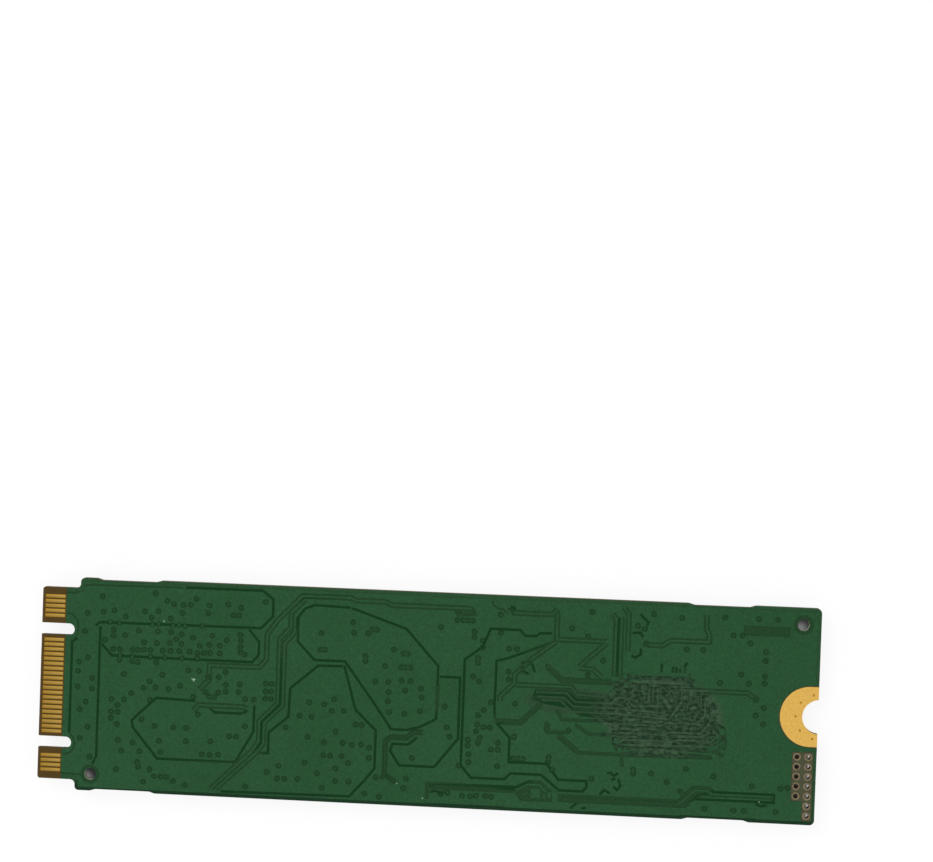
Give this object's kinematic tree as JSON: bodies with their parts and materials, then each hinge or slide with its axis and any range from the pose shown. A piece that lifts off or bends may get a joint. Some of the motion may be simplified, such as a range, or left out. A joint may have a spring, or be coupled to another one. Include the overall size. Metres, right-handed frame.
{
  "type": "m.2 solid-state drive card",
  "caption": "Thin stepped circuit card with gold edge contacts, keyed tongue and half-round screw notch, carrying flash storage chips on one side; plugs into a slot as a drive.",
  "frame": {"origin": "centre of the bounding box, on the plane that the chip packages rest on", "axes": "+X from the edge connector to the screw notch, +Y towards pin 1, +Z out of the bare back"},
  "size_m": [0.08, 0.022, 0.0021],
  "materials": {
    "laminate": "bare glass-fibre laminate, brown and satin",
    "solder_mask": "green solder mask, semi-gloss over the copper's relief",
    "gold": "thin gold plating, satin",
    "plating": "dull tan plating of the header holes",
    "mould": "black mould compound, fine matt grain",
    "substrate": "dark green package laminate",
    "solder": "tin solder, soft grey shine",
    "ferrite": "pressed dark grey ferrite",
    "ceramic_tan": "tan capacitor ceramic",
    "ceramic_black": "black glazed resistor top on ceramic",
    "ceramic_dark": "dark crystal base ceramic",
    "nickel": "plated lid, brushed"
  },
  "bodies": {
    "root": {"board_core": "laminate", "solder_mask_back": "solder_mask", "solder_mask_front": "solder_mask", "edge_contacts_back": "gold", "edge_contacts_front": "gold", "mount_pad_back": "gold", "mount_pad_front": "gold", "header_barrels": "plating", "coil_cores": "ferrite", "coil_terminals": "solder", "bulk_capacitor_bodies": "ceramic_tan", "bulk_capacitor_caps": "solder", "power_manager_body": "mould", "power_manager_leads": "solder", "crystal_base": "ceramic_dark", "crystal_lid": "nickel", "boot_flash_body": "mould", "boot_flash_pads": "solder", "regulator_body": "mould", "regulator_leads": "solder", "small_capacitor_bodies": "ceramic_tan", "small_capacitor_caps": "solder", "resistor_bodies": "ceramic_black", "resistor_caps": "solder", "controller_mould": "mould", "controller_substrate": "substrate", "controller_balls": "solder", "memory_mould": "mould", "memory_substrate": "substrate", "memory_balls": "solder", "flash_1_mould": "mould", "flash_1_substrate": "substrate", "flash_1_balls": "solder", "flash_2_mould": "mould", "flash_2_substrate": "substrate", "flash_2_balls": "solder"}
  },
  "joints": []
}
